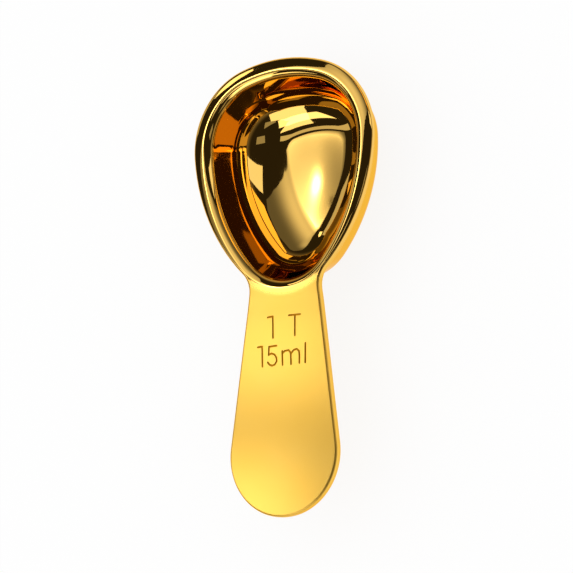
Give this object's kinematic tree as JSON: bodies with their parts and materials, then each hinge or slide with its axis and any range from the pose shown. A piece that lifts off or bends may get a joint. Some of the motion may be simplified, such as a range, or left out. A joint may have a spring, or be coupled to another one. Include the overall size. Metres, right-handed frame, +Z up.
{
  "type": "measuring spoon",
  "caption": "Metal measuring spoon with a deep flat-bottomed bowl, a flat lip all round it and a flat paddle-shaped handle.",
  "frame": {"origin": "on the flat foot under the bowl, straight below the middle of the mouth", "axes": "+X across the bowl to the right, +Y from the handle towards the tip of the bowl, +Z up with the mouth facing up"},
  "size_m": [0.0462, 0.1007, 0.0187],
  "materials": {
    "polished_gold": "mirror polished gold-coloured plating on steel, inside and out",
    "satin_gold": "satin gold-coloured plating on steel, with a fine even haze and no visible brush lines"
  },
  "bodies": {
    "root": {"bowl": "polished_gold", "handle": "satin_gold"}
  },
  "joints": []
}
